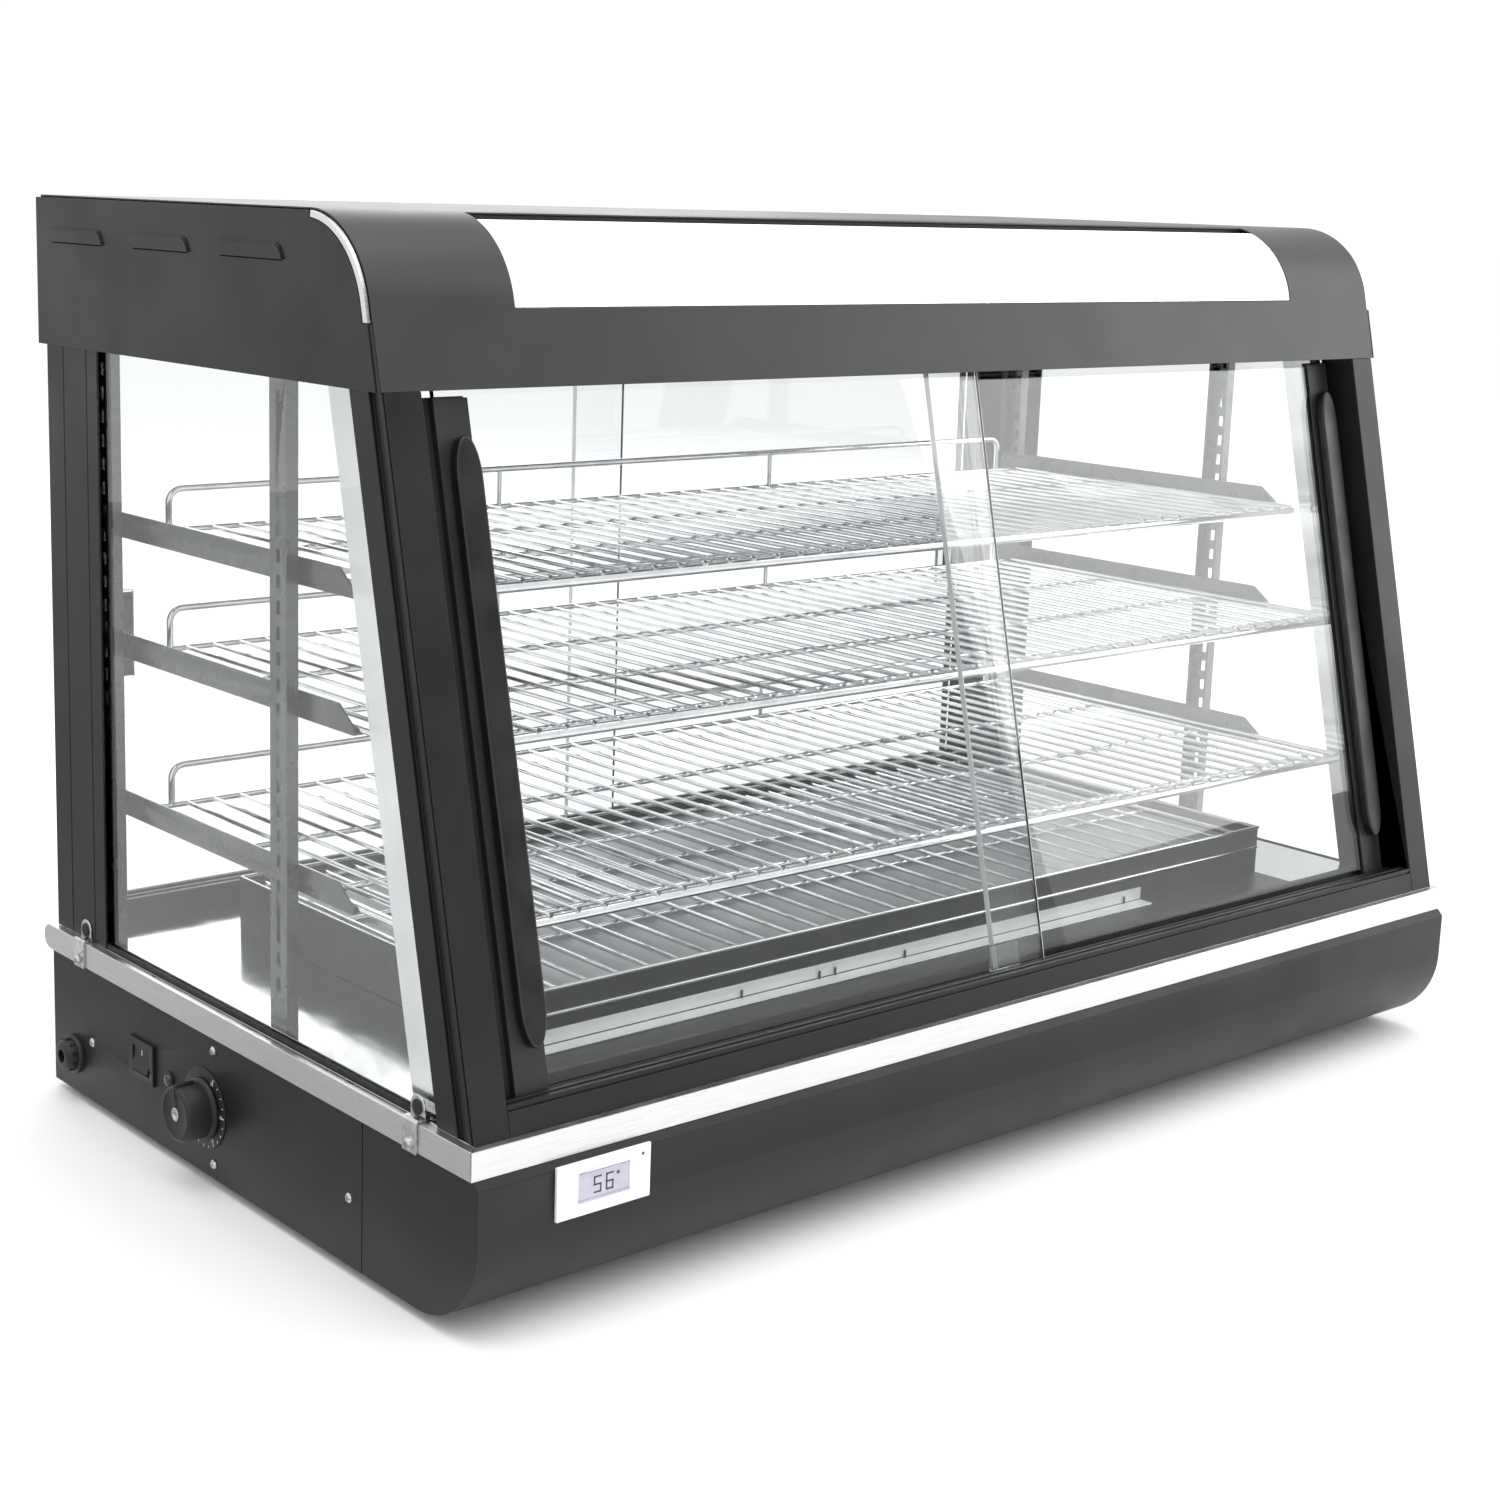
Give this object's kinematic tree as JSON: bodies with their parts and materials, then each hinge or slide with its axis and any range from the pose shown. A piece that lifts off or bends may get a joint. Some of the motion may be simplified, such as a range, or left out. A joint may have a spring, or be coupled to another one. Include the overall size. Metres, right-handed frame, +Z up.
{
  "type": "hot food display case",
  "caption": "Countertop heated glass display case with a raked front, sliding doors front and rear, wire shelves on slotted standards, a lit curved hood and side controls.",
  "frame": {"origin": "on the counter, in the case's plane of symmetry, midway between the front of the belt trim and the rear of the base", "axes": "+X to the customer's right along the case's width, -Y to the customer's side, +Z up"},
  "size_m": [0.9237, 0.5132, 0.604],
  "materials": {
    "black_enamel": "satin",
    "dark_enamel": "satin",
    "brushed_trim": "brushed",
    "polished_steel": "polished",
    "zinc_steel": "bright",
    "slotted_steel": "satin",
    "chrome_wire": "polished",
    "clear_glass": "polished",
    "clear_plastic": "smooth",
    "black_plastic": "matte",
    "grip_plastic": "satin",
    "dark_stile": "satin",
    "lamp_lens": "gloss",
    "white_plastic": "satin",
    "display_window": "gloss",
    "ceramic_white": "matte",
    "opal_acrylic": "gloss",
    "heater_sheath": "matte",
    "rubber": "matte",
    "lamp_glass": "gloss"
  },
  "bodies": {
    "case": {"base_front_shell": "black_enamel", "base_tray": "black_enamel", "base_control_panel": "black_enamel", "rubber_feet": "rubber", "belt_trim": "brushed_trim", "glass_clips": "zinc_steel", "casing_screws": "zinc_steel", "cable_gland": "black_plastic", "switch_housing": "black_plastic", "indicator_lamp": "lamp_lens", "dial_plate": "black_plastic", "thermostat_body": "zinc_steel", "thermometer_bezel": "white_plastic", "thermometer_display": "display_window", "terminal_block": "ceramic_white", "floor_pan": "polished_steel", "heater_box": "dark_enamel", "heating_element": "heater_sheath", "shelf_standards_left": "slotted_steel", "shelf_standards_right": "slotted_steel", "shelf_brackets_left": "slotted_steel", "shelf_brackets_right": "slotted_steel", "front_post_left": "black_enamel", "front_post_right": "black_enamel", "post_liners": "polished_steel", "front_bottom_track": "black_enamel", "front_top_track": "black_enamel", "door_guide": "clear_plastic", "rear_post_left": "black_enamel", "rear_post_right": "black_enamel", "rear_bottom_track": "black_enamel", "rear_top_track": "black_enamel", "side_glass_left": "clear_glass", "side_glass_right": "clear_glass", "hood_side_left": "black_enamel", "hood_side_right": "black_enamel", "hood_arc_trims": "brushed_trim", "hood_front": "dark_enamel", "hood_top_cover": "dark_enamel", "light_panel": "opal_acrylic", "ceiling_plate": "polished_steel", "lamp_tube": "lamp_glass", "lamp_holders": "white_plastic"},
    "front_door_left": {"front_door_left_glass": "clear_glass", "front_door_left_stile": "dark_stile", "front_door_left_grip": "grip_plastic"},
    "front_door_right": {"front_door_right_glass": "clear_glass", "front_door_right_stile": "dark_stile", "front_door_right_grip": "grip_plastic"},
    "rear_door_left": {"rear_door_left_glass": "clear_glass", "rear_door_left_grip": "clear_plastic"},
    "rear_door_right": {"rear_door_right_glass": "clear_glass", "rear_door_right_grip": "clear_plastic"},
    "top_shelf": {"shelf_top": "chrome_wire"},
    "middle_shelf": {"shelf_middle": "chrome_wire"},
    "lower_shelf": {"shelf_lower": "chrome_wire"},
    "heater_rack": {"bottom_rack": "chrome_wire"},
    "pan": {"water_pan": "polished_steel"},
    "knob": {"thermostat_knob": "black_plastic"},
    "rocker": {"switch_rocker": "grip_plastic"}
  },
  "joints": [
    {"name": "front_door_left_slide", "type": "slide", "parent": "case", "child": "front_door_left", "axis": [1, 0, 0], "range_m": [0, 0.355]},
    {"name": "front_door_right_slide", "type": "slide", "parent": "case", "child": "front_door_right", "axis": [1, 0, 0], "range_m": [-0.355, 0]},
    {"name": "rear_door_left_slide", "type": "slide", "parent": "case", "child": "rear_door_left", "axis": [1, 0, 0], "range_m": [0, 0.36]},
    {"name": "rear_door_right_slide", "type": "slide", "parent": "case", "child": "rear_door_right", "axis": [1, 0, 0], "range_m": [-0.36, 0]},
    {"name": "top_shelf_lift", "type": "slide", "parent": "case", "child": "top_shelf", "axis": [0, 0, 1], "range_m": [0, 0.012]},
    {"name": "middle_shelf_lift", "type": "slide", "parent": "case", "child": "middle_shelf", "axis": [0, 0, 1], "range_m": [0, 0.012]},
    {"name": "lower_shelf_lift", "type": "slide", "parent": "case", "child": "lower_shelf", "axis": [0, 0, 1], "range_m": [0, 0.012]},
    {"name": "heater_rack_lift", "type": "slide", "parent": "case", "child": "heater_rack", "axis": [0, 0, 1], "range_m": [0, 0.04]},
    {"name": "water_pan_lift", "type": "slide", "parent": "case", "child": "pan", "axis": [0, 0, 1], "range_m": [0, 0.008]},
    {"name": "thermostat_turn", "type": "hinge", "parent": "case", "child": "knob", "pos_m": [-0.449, 0.04, 0.0495], "axis": [1, 0, 0], "range_deg": [0, 270]},
    {"name": "power_rocker", "type": "hinge", "parent": "case", "child": "rocker", "pos_m": [-0.446, 0.12, 0.0565], "axis": [0, 1, 0], "range_deg": [-18, 0]}
  ]
}
